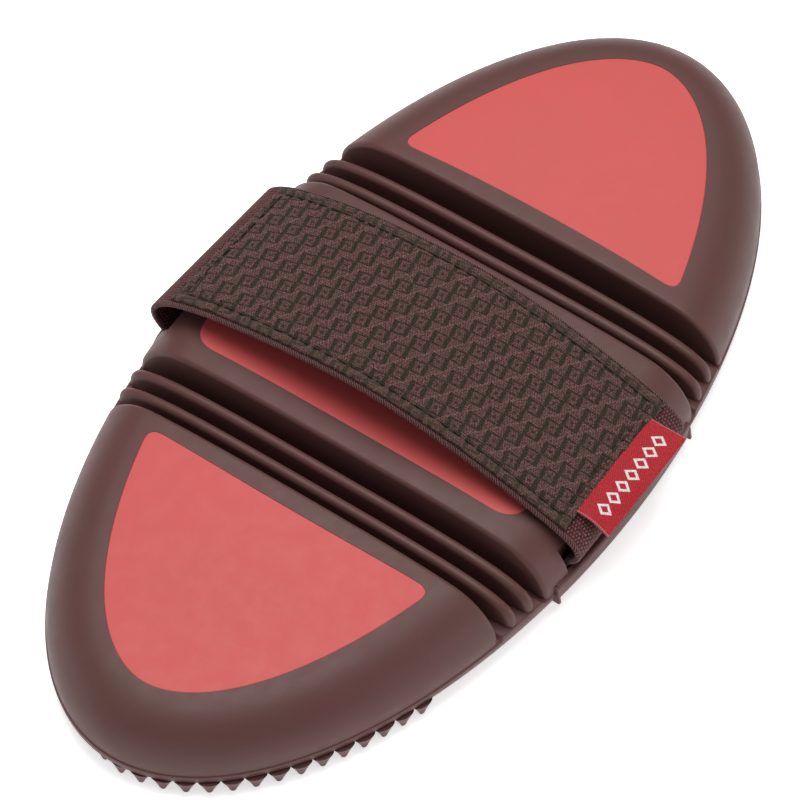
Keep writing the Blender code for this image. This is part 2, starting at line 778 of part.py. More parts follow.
def build_centre():
    shell = centre_shell("centre_shell", body_rubber("centre_shell"))
    fit_inlay("centre_pad", shell, centre_pad_outline(), centre_pad_outline(GAP), pad_rubber("centre_pad"))
    centre_sole("centre_sole", body_rubber("centre_sole"))
    side_strip("left_strap_strip", 1, body_rubber("left_strap_strip"))
    side_strip("right_strap_strip", -1, body_rubber("right_strap_strip"))


def build_strap():
    strap_webbing("strap_webbing", dark_webbing("strap_webbing"))
    strap_panel("strap_panel", jacquard("strap_panel"))
    panel_thread("panel_stitching", thread("panel_stitching"))
    woven_label("side_label", label_weave("side_label"))


clear_scene()
build_centre()
build_end("front", -1)
build_end("rear", 1)
build_strap()
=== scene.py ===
"""Looks of a flexible rubber curry comb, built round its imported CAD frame.

Lengths in the builders below are millimetres in the frame's own axes: +X to the rear end, +Y to the
left side, +Z up from the tooth tips. add_mesh turns them into metres.
"""

import math

import bmesh
import bpy
import numpy as np
from mathutils import Matrix, Vector


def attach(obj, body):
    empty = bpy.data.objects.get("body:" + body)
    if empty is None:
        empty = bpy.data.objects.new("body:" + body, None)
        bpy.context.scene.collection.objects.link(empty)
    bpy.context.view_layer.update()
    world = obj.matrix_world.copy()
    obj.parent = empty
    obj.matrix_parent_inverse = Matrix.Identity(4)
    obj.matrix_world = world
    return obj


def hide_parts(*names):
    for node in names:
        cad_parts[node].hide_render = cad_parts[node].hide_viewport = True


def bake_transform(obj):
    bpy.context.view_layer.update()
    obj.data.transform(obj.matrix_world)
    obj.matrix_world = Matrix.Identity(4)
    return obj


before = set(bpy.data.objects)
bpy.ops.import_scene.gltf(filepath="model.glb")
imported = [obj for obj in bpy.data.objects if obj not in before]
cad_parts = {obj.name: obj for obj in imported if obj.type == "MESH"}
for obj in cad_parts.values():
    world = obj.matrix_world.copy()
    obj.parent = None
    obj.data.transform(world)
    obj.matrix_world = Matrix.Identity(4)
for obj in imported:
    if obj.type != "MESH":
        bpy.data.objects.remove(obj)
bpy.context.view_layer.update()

MM = 0.001
PI = math.pi

# Plan outline and heights.
HALF_LENGTH = 105.7
HALF_WIDTH = 52.3
SOLE_BOTTOM = 4.0
SOLE_TOP = 6.6
CROWN_TOP = 19.6
CROWN_DROP = 1.7
CROWN_HALF_LENGTH = 97.3
CROWN_HALF_WIDTH = 43.7
SHOULDER_WIDTH = 11.5
SHOULDER_FULLNESS = 2.2
BLOCK_INSET = 0.3
BLOCK_BOTTOM = 6.5
WALL_ROUND = 1.1

# Flex zones.
CENTRE_WALL = 27.5
INNER_RIB = 31.5
OUTER_RIB = 36.4
END_WALL = 40.8
RIB_TOP = 16.1
RIB_HALF_THICKNESS = 1.2
RIB_ROUNDNESS = 3.6
HINGES = (28.9, 33.95, 39.2)
SEAMS = (26.6, INNER_RIB, OUTER_RIB, 41.7)
LIP_HEIGHT = 0.9
LIP_WIDTH = 5.0
LIP_SLOPE = 4.2

# Pads.
END_PAD_REACH = 93.7
END_PAD_HALF_WIDTH = 40.2
END_PAD_POWER = 1.88
END_PAD_EDGE = 45.6
END_PAD_BOW = 0.8
END_PAD_CORNER = 3.2
CENTRE_PAD_HALF_LENGTH = 22.2
CENTRE_PAD_HALF_WIDTH = 39.8
CENTRE_PAD_SHIFT = (0.0, 0.9)
CENTRE_PAD_BOW = 1.2
CENTRE_PAD_CORNER = 6.0
PAD_FLOOR = 16.0
PAD_GAP = 0.01
PAD_RECESS = 0.02

# Strap.
STRAP_CENTRE_X = 0.4
WEBBING_HALF_WIDTH = 19.6
WEBBING_THICKNESS = 1.4
PANEL_HALF_WIDTH = 18.7
PANEL_THICKNESS = 0.7
PANEL_LEFT_END = 46.6
PANEL_RIGHT_END = -47.4
STITCH_INSET = 2.3
STITCH_PITCH = 3.1
STITCH_FILL = 0.74
STITCH_RADIUS = 0.18
STRIP_HALF_LENGTH = 24.4
STRIP_INNER_Y = 50.0
STRIP_TOP = 8.3
FIN_REACH = 0.6
FIN_DROP = 0.9
SLOT_INNER_Y = 47.9
SLOT_HALF_LENGTH = 20.4
LABEL_HINGE = (0.45, -48.1, 19.0)
LABEL_HALF_LENGTH = 13.65
LABEL_REACH = 8.1
LABEL_DROOPS = (2.7, 0.15)
LABEL_TUCK = 0.6
LABEL_PLY_OFFSET = 0.2
LABEL_PLY_HALF_THICKNESS = 0.14
LOZENGE_PITCH = 3.3
LOZENGE_HALF = (1.45, 1.9)
LOZENGE_ROW_AT = 3.9
LOZENGE_ROW_HALF = 11.5

# The webbing's weave: cords along it, raised in beads, and a ribbed cord down each edge.
CORD_PITCH = 0.8
BEAD_PITCH = 0.64
EDGE_CORD = 1.05
EDGE_RIB_PITCH = 0.6

# The panel's trellis: rows turned from the strap's width, rhombi along each row, and strokes of two widths.
ROW_TURN = math.radians(35.0)
ROW_PITCH = 4.9
RHOMBUS_PITCH = 4.3
RHOMBUS_HALF = (1.95, 2.0)
THICK_STROKE = 0.48
THIN_STROKE = 0.2

# The webbing's under surface, as (y, z) points from its left foot over the arch to its right foot.
STRAP_ROUTE = [
    (48.2, 7.2), (48.3, 8.8), (49.0, 10.4), (50.3, 12.2), (51.0, 14.4), (50.0, 16.8), (47.0, 19.3),
    (42.0, 21.7), (34.0, 24.2), (24.0, 26.2), (12.0, 27.6), (0.0, 28.1), (-12.0, 26.9), (-24.0, 24.7),
    (-34.0, 21.9), (-42.0, 19.3), (-47.6, 17.1), (-50.6, 14.9), (-51.3, 13.0), (-50.5, 11.4),
    (-49.1, 10.0), (-48.3, 8.6), (-48.2, 7.2),
]


# ---------------------------------------------------------------- meshes


def add_object(name, data):
    obj = bpy.data.objects.new(name, data)
    bpy.context.scene.collection.objects.link(obj)
    return obj


def settle_mesh(mesh, sharp_degrees, merge=False):
    """Turns a closed mesh's faces outwards and shades it; merge joins points that coincide."""
    bm = bmesh.new()
    bm.from_mesh(mesh)
    if merge:
        bmesh.ops.remove_doubles(bm, verts=bm.verts, dist=2e-6)
        bmesh.ops.dissolve_degenerate(bm, dist=1e-6, edges=bm.edges)
    bmesh.ops.recalc_face_normals(bm, faces=bm.faces)
    if bm.calc_volume(signed=True) < 0:
        bmesh.ops.reverse_faces(bm, faces=bm.faces)
    bm.to_mesh(mesh)
    bm.free()
    mesh.shade_smooth()
    mesh.set_sharp_from_angle(angle=math.radians(sharp_degrees))


def add_mesh(name, points, faces, material, sharp_degrees=40.0):
    """A closed mesh from points in millimetres, cleaned and turned outwards."""
    mesh = bpy.data.meshes.new(name)
    mesh.from_pydata((np.asarray(points, float) * MM).tolist(), [], [list(map(int, f)) for f in faces])
    settle_mesh(mesh, sharp_degrees, merge=True)
    if material is not None:
        mesh.materials.append(material)
    return add_object(name, mesh)


def grid_faces(rows, cols, wrap=False, start=0):
    """Faces between the rows of a grid of points; wrap joins the last column to the first."""
    r, c = np.meshgrid(np.arange(rows - 1), np.arange(cols if wrap else cols - 1), indexing="ij")
    after = (c + 1) % cols
    quads = np.stack([r * cols + c, r * cols + after, (r + 1) * cols + after, (r + 1) * cols + c], -1)
    return (quads.reshape(-1, 4) + start).tolist()


def loft(name, sections, material, caps=(True, True), sharp_degrees=40.0):
    """A solid through sections with the same number of points, each a loop; caps close its two ends."""
    grid = np.asarray(sections, float)
    rows, cols = grid.shape[:2]
    faces = grid_faces(rows, cols, wrap=True)
    if caps[0]:
        faces.append(list(range(cols)))
    if caps[1]:
        faces.append(list(range((rows - 1) * cols, rows * cols))[::-1])
    return add_mesh(name, grid.reshape(-1, 3), faces, material, sharp_degrees)


def prism(name, outline, low, high):
    """An upright cutter with the given outline, between two heights."""
    outline = np.asarray(outline, float)
    rings = [np.column_stack([outline, np.full(len(outline), z)]) for z in (low, high)]
    return loft(name, rings, None)


def cut(obj, cutters, material):
    """Subtracts the cutters from obj, for good, and removes them."""
    for cutter in cutters:
        modifier = obj.modifiers.new("cut", "BOOLEAN")
        modifier.operation = "DIFFERENCE"
        modifier.solver = "EXACT"
        modifier.object = cutter
    graph = bpy.context.evaluated_depsgraph_get()
    mesh = bpy.data.meshes.new_from_object(obj.evaluated_get(graph))
    obj.modifiers.clear()
    old = obj.data
    obj.data = mesh
    bpy.data.meshes.remove(old)
    for cutter in cutters:
        bpy.data.objects.remove(cutter)
    mesh.materials.clear()
    mesh.materials.append(material)
    mesh.shade_smooth()
    mesh.set_sharp_from_angle(angle=math.radians(40.0))
    return obj


def smooth(t):
    """A share from 0 to 1 that starts and ends level."""
    t = np.clip(t, 0.0, 1.0)
    return t * t * (3.0 - 2.0 * t)


# ---------------------------------------------------------------- shape of the rubber


def outline_y(x, inset=0.0):
    """Half the width of the oval, drawn in by inset, at a place along the comb."""
    ratio = np.clip(np.abs(x) / (HALF_LENGTH - inset), 0.0, 1.0)
    return (HALF_WIDTH - inset) * np.sqrt(1.0 - ratio * ratio)


def crown(x, y):
    """Height of the domed top of the blocks."""
    reach = (x / CROWN_HALF_LENGTH) ** 2 + (y / CROWN_HALF_WIDTH) ** 2
    return CROWN_TOP - CROWN_DROP * reach**2


def block_section(place, rings=22, columns=36):
    """A block's section from right foot to left foot; place(inset) gives x for each ring."""
    t = np.linspace(0.0, PI / 2, rings)
    out = np.clip(np.cos(t), 0.0, 1.0) ** (2.0 / SHOULDER_FULLNESS)
    up = np.sin(t) ** (2.0 / SHOULDER_FULLNESS)
    inset = BLOCK_INSET + SHOULDER_WIDTH * (1.0 - out)
    x = place(inset)
    y = outline_y(x, inset)
    left = np.column_stack([x, y, BLOCK_BOTTOM + (crown(x, y) - BLOCK_BOTTOM) * up])
    share = np.linspace(-1.0, 1.0, columns + 2)[1:-1]
    top_y = share * y[-1]
    across = np.column_stack([np.full(columns, x[-1]), top_y, crown(x[-1], top_y)])
    return np.concatenate([left * (1, -1, 1), across, left[::-1]])


def draw_in(section, amount):
    """Moves a section inwards along its own normals, keeping its feet on their level."""
    along = np.gradient(section[:, 1:], axis=0)
    along[0] = (0.0, 1.0)
    along[-1] = (0.0, -1.0)
    along /= np.maximum(np.linalg.norm(along, axis=1), 1e-9)[:, None]
    moved = section.copy()
    moved[:, 1] += along[:, 1] * amount
    moved[:, 2] -= along[:, 0] * amount
    return moved


def wall_sections(wall, into):
    """Sections through the rounded edge of a block's wall, from the wall inwards."""
    sections = []
    for angle in np.linspace(0.0, PI / 2, 8):
        x = wall + into * WALL_ROUND * (1.0 - math.cos(angle))
        flat = block_section(lambda inset: np.full(len(inset), x))
        sections.append(draw_in(flat, WALL_ROUND * (1.0 - math.sin(angle))))
    return sections


def end_block_sections():
    """An end block from its wall to the tip, where the sections close in on one another."""
    sections = wall_sections(END_WALL, 1.0)
    start = END_WALL + WALL_ROUND
    first = math.acos(start / HALF_LENGTH)
    steps = 56
    for angle in first * (1.0 - np.arange(1, steps + 1) / steps):
        share = (HALF_LENGTH * math.cos(angle) - start) / (HALF_LENGTH - start)
        sections.append(block_section(lambda inset: start + (HALF_LENGTH - inset - start) * share))
    return sections


def centre_block_sections():
    middle = []
    for x in np.linspace(-CENTRE_WALL + WALL_ROUND, CENTRE_WALL - WALL_ROUND, 25)[1:-1]:
        middle.append(block_section(lambda inset: np.full(len(inset), x)))
    return wall_sections(-CENTRE_WALL, 1.0) + middle + wall_sections(CENTRE_WALL, -1.0)[::-1]


def round_corner(before, corner, after, reach, steps=9):
    """Points round a corner, from reach before it to reach after it."""
    before, corner, after = (np.asarray(p, float) for p in (before, corner, after))
    start = corner + (before - corner) / np.linalg.norm(before - corner) * reach
    end = corner + (after - corner) / np.linalg.norm(after - corner) * reach
    t = np.linspace(0.0, 1.0, steps)[:, None]
    return start * (1 - t) ** 2 + corner * 2 * t * (1 - t) + end * t**2


def end_pad_outline(side):
    """Plan outline of an end pad: a blunt arc towards the tip and a bowed edge with round corners."""
    edge = END_PAD_EDGE - END_PAD_BOW
    corner_y = END_PAD_HALF_WIDTH * (1 - (edge / END_PAD_REACH) ** END_PAD_POWER) ** (1 / END_PAD_POWER)
    first = math.acos((edge / END_PAD_REACH) ** (END_PAD_POWER / 2))
    angle = first * (1 - 2 * np.arange(1, 96) / 96)
    power = 2 / END_PAD_POWER
    arc_x = END_PAD_REACH * np.cos(angle) ** power
    arc_y = END_PAD_HALF_WIDTH * np.sign(angle) * np.abs(np.sin(angle)) ** power
    arc = np.column_stack([arc_x, arc_y])
    far = arc[np.hypot(arc[:, 0] - edge, np.abs(arc[:, 1]) - corner_y) > END_PAD_CORNER * 1.05]
    left = round_corner((edge, 0.0), (edge, corner_y), far[0], END_PAD_CORNER)
    right = round_corner(far[-1], (edge, -corner_y), (edge, 0.0), END_PAD_CORNER)
    share = np.linspace(-0.84, 0.84, 23)
    bowed = np.column_stack([edge + END_PAD_BOW * (1 - share**2) - 0.2, share * corner_y])
    outline = np.concatenate([left, far[1:-1], right, bowed])
    return outline if side > 0 else (outline * (-1, 1))[::-1]


def centre_pad_outline():
    """Plan outline of the middle pad, from one rounded quarter."""
    half_x, half_y = CENTRE_PAD_HALF_LENGTH, CENTRE_PAD_HALF_WIDTH
    tip = half_y + CENTRE_PAD_BOW
    corner = round_corner((half_x, 0.0), (half_x, half_y), (0.0, tip), CENTRE_PAD_CORNER, steps=14)
    x = np.linspace(corner[-1, 0], 0.0, 12)[1:]
    y = tip - (tip - corner[-1, 1]) * (x / corner[-1, 0]) ** 2
    side_y = np.linspace(0.0, corner[0, 1], 24)[:-1]
    straight = np.column_stack([np.full(len(side_y), half_x), side_y])
    quarter = np.concatenate([straight, corner, np.column_stack([x, y])])
    upper = np.concatenate([quarter, (quarter * (-1, 1))[-2:0:-1]])
    return np.concatenate([upper, upper * (-1, -1)]) + CENTRE_PAD_SHIFT


def inner_offset(outline, amount):
    """The outline moved inwards along its normals (outwards if amount is negative)."""
    along = np.roll(outline, -1, 0) - np.roll(outline, 1, 0)
    along /= np.maximum(np.linalg.norm(along, axis=1), 1e-9)[:, None]
    normal = np.column_stack([-along[:, 1], along[:, 0]])
    area = np.sum(outline[:, 0] * np.roll(outline[:, 1], -1) - np.roll(outline[:, 0], -1) * outline[:, 1])
    return outline + normal * amount * np.sign(area)


def pad_mesh(name, outline, material):
    """A pad let into the crown: straight sides, a softly rounded edge and a top that follows the crown."""
    rings = [np.column_stack([outline, np.full(len(outline), PAD_FLOOR)])]
    for inset, drop in ((0.0, 0.1), (0.04, 0.04), (0.12, 0.01), (0.3, 0.0), (0.6, 0.0)):
        ring = inner_offset(outline, inset)
        rings.append(np.column_stack([ring, crown(ring[:, 0], ring[:, 1]) - PAD_RECESS - drop]))
    edge = inner_offset(outline, 0.6)
    middle = edge.mean(0)
    for share in (0.93, 0.82, 0.7, 0.58, 0.46, 0.34, 0.22, 0.1):
        ring = middle + (edge - middle) * share
        rings.append(np.column_stack([ring, crown(ring[:, 0], ring[:, 1]) - PAD_RECESS]))
    return loft(name, rings, material)


def rim_profile(lift=0.0):
    """(inset, height) pairs down the floor's rim; lift raises its upper part."""
    top = [(1.6, SOLE_TOP + 0.02), (0.9, SOLE_TOP), (0.45, SOLE_TOP - 0.05), (0.18, SOLE_TOP - 0.2)]
    top = [(inset, z + lift) for inset, z in top] + [(0.03, SOLE_TOP - 0.45 + 0.6 * lift)]
    low = [(0.0, SOLE_TOP - 0.8), (0.1, SOLE_TOP - 1.15), (0.16, SOLE_BOTTOM + 0.7)]
    return top + low + [(0.24, SOLE_BOTTOM + 0.35), (0.5, SOLE_BOTTOM + 0.1), (1.0, SOLE_BOTTOM)]


def end_sole_mesh(name, side, material):
    """The rubber floor under an end block, from its seam to the tip."""
    rings = []
    for inset, z in rim_profile():
        reach, width = HALF_LENGTH - inset, HALF_WIDTH - inset
        first = math.acos(SEAMS[3] / reach)
        angle = np.linspace(first, -first, 150)
        ring = np.column_stack([reach * np.cos(angle), width * np.sin(angle), np.full(len(angle), z)])
        rings.append(ring * (side, 1, 1))
    return loft(name, rings, material)


def sole_strip_sections(low_x, high_x, stations, floor_lift):
    """Sections of the floor between two places along the comb; floor_lift(x) is the groove's lip there."""
    sections = []
    for x in np.linspace(low_x, high_x, stations):
        lift = floor_lift(abs(x))
        rim = np.array([(outline_y(x, inset), z) for inset, z in rim_profile(lift)])
        inner = rim[0, 0]
        y = np.linspace(1.0, -1.0, 50)[1:-1] * inner
        rise = lift * smooth((np.abs(y) - (inner - LIP_WIDTH)) / LIP_SLOPE)
        top = np.column_stack([y, SOLE_TOP + 0.02 + rise])
        base_y = np.linspace(-rim[-1, 0], rim[-1, 0], 30)[1:-1]
        base = np.column_stack([base_y, np.full(len(base_y), SOLE_BOTTOM)])
        loop = np.concatenate([rim[::-1], top, rim * (-1, 1), base])
        sections.append(np.column_stack([np.full(len(loop), x), loop]))
    return sections


def groove_lift(x):
    """Height of the lip that closes the grooves at the rim: none under the blocks."""
    return LIP_HEIGHT * smooth((x - CENTRE_WALL - 0.2) / 1.0) * smooth((END_WALL - 0.2 - x) / 1.0)


def rib_sections(centre):
    """Sections through a raised rib, from one rounded edge to the other."""
    sections = []
    for angle in np.linspace(0.0, PI, 15):
        x = centre - RIB_HALF_THICKNESS * math.cos(angle)
        half_width = outline_y(x, 0.4)
        t = PI * (1.0 - np.linspace(0.0, 1.0, 73))
        along = np.sign(np.cos(t)) * np.abs(np.cos(t)) ** (2.0 / RIB_ROUNDNESS)
        up = np.clip(np.sin(t), 0.0, 1.0) ** (2.0 / RIB_ROUNDNESS)
        height = BLOCK_BOTTOM + up * (RIB_TOP - BLOCK_BOTTOM)
        flat = np.column_stack([np.full(len(t), x), along * half_width, height])
        sections.append(draw_in(flat, RIB_HALF_THICKNESS * (1.0 - math.sin(angle))))
    return sections


# ---------------------------------------------------------------- teeth


# Profiles from the root down, as (radius, height). The rim's teeth are flattened across the rim.
TOOTH_TIP = ((0.66, 0.45), (0.48, 0.12), (0.25, 0.0))
RIM_TOOTH = ((2.3, 4.2), (2.2, 3.95), (1.9, 3.4), (1.5, 2.6), (1.15, 1.8), (0.85, 1.0)) + TOOTH_TIP
SMALL_TOOTH = ((2.0, 4.2), (1.85, 3.95), (1.55, 3.4), (1.25, 2.6), (1.0, 1.8), (0.8, 1.0)) + TOOTH_TIP
FIELD_TOOTH = (
    (2.7, 4.1), (2.4, 3.85), (2.1, 3.3), (1.8, 2.4), (1.55, 1.4), (1.3, 0.55), (1.0, 0.15), (0.6, 0.0),
)
MIDDLE_TOOTH = ((3.3, 4.1), (3.2, 3.8), (2.9, 2.8), (2.6, 1.6), (2.3, 0.6), (2.05, 0.1), (1.9, 0.0))
RIM_TOOTH_FLATNESS = 0.55

# The rows round the ends.
RIM_ROW_INSET = 1.4
RIM_ROW_PITCH = 4.5
RIM_ROW_FROM_X = 57.0
RIM_ROW_TURN = math.radians(0.9)
RIM_DRAW_IN = 1.2
RIM_DRAW_IN_BY = 0.4

# The teeth under the blocks and the ribs.
FIELD_PITCH_X = 11.4
FIELD_PITCH_Y = 12.0
FIELD_INSET = 7.5
FIELD_CLEAR = 3.0
END_FIELD_FROM = 44.0
CENTRE_FIELD_FROM = -22.8
RIB_TOOTH_PITCH = 10.2


def teeth_mesh(name, groups, material, sides=18):
    """Cones with hollow flanks and rounded tips, flattened across the rim by the last item of a group.

    Groups are (places, profile of (radius, height), flatness).
    """
    points, faces = [], []
    angle = 2 * PI * np.arange(sides) / sides
    for places, profile, flatness in groups:
        for x, y in places:
            start = len(points)
            heading = math.atan2(y / HALF_WIDTH**2, x / HALF_LENGTH**2)
            out, along = flatness * np.cos(angle), np.sin(angle)
            ring_x = out * math.cos(heading) - along * math.sin(heading)
            ring_y = out * math.sin(heading) + along * math.cos(heading)
            for radius, z in profile:
                points += [(x + radius * cx, y + radius * cy, z) for cx, cy in zip(ring_x, ring_y)]
            faces += grid_faces(len(profile), sides, wrap=True, start=start)
            faces.append(list(range(start, start + sides))[::-1])
            faces.append(list(range(start + (len(profile) - 1) * sides, start + len(profile) * sides)))
    return add_mesh(name, points, faces, material)


def rim_places(side):
    """The row round one end's rim, turned a touch; past the tip one half draws in from the rim."""
    reach, width = HALF_LENGTH - RIM_ROW_INSET, HALF_WIDTH - RIM_ROW_INSET
    places = [(reach * side, 0.0)]
    angle = 0.0
    while True:
        angle += RIM_ROW_PITCH / math.hypot(reach * math.sin(angle), width * math.cos(angle))
        if angle > math.acos(RIM_ROW_FROM_X / reach):
            break
        for hand in (1, -1):
            draw = RIM_DRAW_IN * min(1.0, angle / RIM_DRAW_IN_BY) if hand == -side else 0.0
            places.append((side * (reach - draw) * math.cos(angle), hand * (width - draw) * math.sin(angle)))
    cosine, sine = math.cos(RIM_ROW_TURN), math.sin(RIM_ROW_TURN)
    return [(x * cosine - y * sine, x * sine + y * cosine) for x, y in places]


def field_places(low_x, high_x, first_x):
    """Staggered places for the teeth between low_x and high_x, clear of the rim and of the hinge lines."""
    places = []
    column, x = 0, first_x
    while x <= high_x - FIELD_CLEAR:
        half_width = float(outline_y(x, FIELD_INSET))
        shift = FIELD_PITCH_Y / 2 if column % 2 else 0.0
        row = -math.ceil(half_width / FIELD_PITCH_Y) - 1
        while row * FIELD_PITCH_Y + shift <= half_width:
            y = row * FIELD_PITCH_Y + shift
            if abs(y) <= half_width and x >= low_x + FIELD_CLEAR:
                places.append((x, y))
            row += 1
        column += 1
        x += FIELD_PITCH_X
    return places


# ---------------------------------------------------------------- strap


def strap_line(step=0.3):
    """(y, z) points evenly spaced along the webbing's under surface, and the outward normal at each."""
    route = np.array(STRAP_ROUTE)
    padded = np.concatenate([[2 * route[0] - route[1]], route, [2 * route[-1] - route[-2]]])
    dense = []
    for p0, p1, p2, p3 in zip(padded, padded[1:], padded[2:], padded[3:]):
        t = np.linspace(0.0, 1.0, 30)[:-1, None]
        a, b = p2 - p0, 2 * p0 - 5 * p1 + 4 * p2 - p3
        dense.append(0.5 * (2 * p1 + a * t + b * t**2 + (p3 - 3 * p2 + 3 * p1 - p0) * t**3))
    dense = np.concatenate(dense + [route[-1:]])
    length = np.concatenate([[0.0], np.cumsum(np.linalg.norm(np.diff(dense, axis=0), axis=1))])
    places = np.linspace(0.0, length[-1], int(length[-1] / step))
    line = np.column_stack([np.interp(places, length, dense[:, i]) for i in (0, 1)])
    kernel = np.ones(9) / 9
    for i in (0, 1):
        padded_line = np.pad(line[:, i], 4, mode="reflect", reflect_type="odd")
        line[:, i] = np.convolve(padded_line, kernel, mode="valid")
    along = np.gradient(line, axis=0)
    along /= np.linalg.norm(along, axis=1)[:, None]
    return places, line, np.column_stack([along[:, 1], -along[:, 0]])


STRAP_PLACES, STRAP_LINE, STRAP_NORMAL = strap_line()


def strap_point(place, x, height):
    """The point at a distance along the strap, x across it, and height above its under surface."""
    y = np.interp(place, STRAP_PLACES, STRAP_LINE[:, 0])
    z = np.interp(place, STRAP_PLACES, STRAP_LINE[:, 1])
    ny = np.interp(place, STRAP_PLACES, STRAP_NORMAL[:, 0])
    nz = np.interp(place, STRAP_PLACES, STRAP_NORMAL[:, 1])
    side = np.asarray(x) / WEBBING_HALF_WIDTH
    left = smooth((y - 26.0) / 22.0) * smooth((z - 8.0) / 5.0)
    shift = left * (0.4 - 0.9 * side)
    right = smooth((-y + 2.0) / 14.0) * smooth((y + 52.0) / 12.0) * (z > 15.0)
    lift = 0.3 * shift + 0.45 * right * smooth((side + 0.2) / 1.2)
    parts = x + STRAP_CENTRE_X, y + ny * height + shift, z + nz * height + lift
    return np.stack(np.broadcast_arrays(*parts), -1)


def place_at_y(y):
    """Distance along the strap where its arch passes y."""
    top = STRAP_LINE[:, 1] > 13.5
    return float(np.interp(-y, -STRAP_LINE[top, 0], STRAP_PLACES[top]))


def band_sections(places, half_width, columns, low, high, edge):
    """Sections of a flat band with rounded edges: each point's (place, x) and its height."""
    flat_edge = half_width - edge
    x = np.linspace(-flat_edge, flat_edge, columns)
    t = np.linspace(0.0, PI, 9)[1:-1]
    middle, half = (low + high) / 2, (high - low) / 2
    out, up = flat_edge + edge * np.sin(t), half * np.cos(t)
    loop_x = np.concatenate([x, out, x[::-1], -out])
    loop_h = np.concatenate([np.full(columns, high), middle + up, np.full(columns, low), middle - up])
    return np.meshgrid(places, loop_x, indexing="ij"), np.broadcast_to(loop_h, (len(places), len(loop_x)))


def set_weave(mesh, across, along):
    """Stores where each point lies on the flat cloth, in metres, for its weave."""
    data = mesh.attributes.new("cloth", "FLOAT_VECTOR", "POINT")
    flat = np.stack([across, along, np.zeros_like(across)], -1).reshape(-1, 3) * MM
    data.data.foreach_set("vector", flat.astype(np.float32).ravel())


def cloth_mesh(name, points, across, along, material):
    """A closed band of cloth from a grid of points, keeping the flat place of each point."""
    rows, cols = points.shape[:2]
    faces = grid_faces(rows, cols, wrap=True)
    faces += [list(range(cols))[::-1], list(range((rows - 1) * cols, rows * cols))]
    mesh = bpy.data.meshes.new(name)
    mesh.from_pydata((points.reshape(-1, 3) * MM).tolist(), [], faces)
    mesh.materials.append(material)
    set_weave(mesh, across, along)
    settle_mesh(mesh, 60.0)
    return add_object(name, mesh)


def webbing_mesh(name, material):
    """The webbing between two corded edges, its warp cords raised in beads where no panel covers it."""
    low = place_at_y(PANEL_LEFT_END) + 2.0
    high = place_at_y(PANEL_RIGHT_END) - 2.0
    left = np.linspace(0.0, low, 80, endpoint=False)
    covered = np.linspace(low, high, 158, endpoint=False)
    right = np.linspace(high, STRAP_PLACES[-1], 80)
    places = np.concatenate([left, covered, right])
    (s, x), h = band_sections(places, WEBBING_HALF_WIDTH, 148, 0.12, WEBBING_THICKNESS - 0.12, 0.55)
    bare = smooth(np.maximum(low - s, s - high))
    lane = np.floor(x / CORD_PITCH)
    across = np.abs(np.sin(PI * x / CORD_PITCH)) ** 0.7
    beads = 0.5 + 0.5 * bare * np.cos(2 * PI * s / BEAD_PITCH + PI * (lane % 2))
    relief = across * (0.08 + 0.18 * beads) - 0.12
    edge = smooth((np.abs(x) - (WEBBING_HALF_WIDTH - EDGE_CORD)) / 0.4)
    relief = relief * (1 - edge) + 0.06 * edge
    out = np.sign(h - WEBBING_THICKNESS / 2) * smooth(np.abs(h - WEBBING_THICKNESS / 2) / 0.35)
    return cloth_mesh(name, strap_point(s, x, h + relief * out), x, s, material)


def motif(across, along):
    """Share of dark stroke and of light line of the panel's trellis at a place on the flat cloth."""
    u = across * math.cos(ROW_TURN) + along * math.sin(ROW_TURN)
    v = -across * math.sin(ROW_TURN) + along * math.cos(ROW_TURN)
    row = np.floor(v / ROW_PITCH)
    a = ((u / RHOMBUS_PITCH + 0.5 * (row % 2)) % 1.0 - 0.5) * RHOMBUS_PITCH
    b = v - (row + 0.5) * ROW_PITCH
    half_a, half_b = RHOMBUS_HALF
    total = np.abs(a) / half_a + np.abs(b) / half_b
    ring = np.abs(total - 1.0) * half_a * half_b / math.hypot(half_a, half_b)
    width = np.where(a * b > 0, THICK_STROKE, THIN_STROKE)
    return smooth((width - ring) / 0.2 + 0.5), smooth((np.abs(b) - ROW_PITCH / 2 + 0.25) / 0.15)


def panel_mesh(name, material):
    """The panel, with its trellis pressed in and its hem turned under along the stitching."""
    low = place_at_y(PANEL_LEFT_END)
    high = place_at_y(PANEL_RIGHT_END)
    places = np.linspace(low, high, 320)
    base = WEBBING_THICKNESS + 0.03
    (s, x), h = band_sections(places, PANEL_HALF_WIDTH, 124, base, base + PANEL_THICKNESS - 0.05, 0.3)
    stroke, line = motif(x, s)
    rim = np.minimum(np.minimum(s - low, high - s), PANEL_HALF_WIDTH - np.abs(x))
    seam = np.exp(-(((rim - STITCH_INSET) / 0.55) ** 2))
    turned = 0.1 * smooth((STITCH_INSET - rim) / 1.5) * smooth(rim / 0.7)
    relief = 0.1 * line - 0.16 * stroke - 0.24 * seam + turned - 0.3 * smooth((0.8 - rim) / 0.8)
    upper = h > base + PANEL_THICKNESS / 2
    height = h + relief * upper
    return cloth_mesh(name, strap_point(s, x, height), x, s, material)


def stitch_line(line, rise, radius, sides=8):
    """Points and faces of one stitch: a thread that dives into the cloth at both ends."""
    along = np.gradient(line, axis=0)
    along /= np.linalg.norm(along, axis=1)[:, None]
    across = np.cross(along, rise)
    across /= np.linalg.norm(across, axis=1)[:, None]
    up = np.cross(across, along)
    angle = 2 * PI * np.arange(sides) / sides
    taper = np.sqrt(np.clip(np.sin(PI * np.linspace(0.04, 0.96, len(line))), 0, 1))
    ring = across[:, None] * np.cos(angle)[None, :, None] + up[:, None] * np.sin(angle)[None, :, None]
    points = line[:, None] + ring * (radius * taper)[:, None, None]
    faces = grid_faces(len(line), sides, wrap=True)
    faces += [list(range(sides))[::-1], list(range((len(line) - 1) * sides, len(line) * sides))]
    return points.reshape(-1, 3), faces


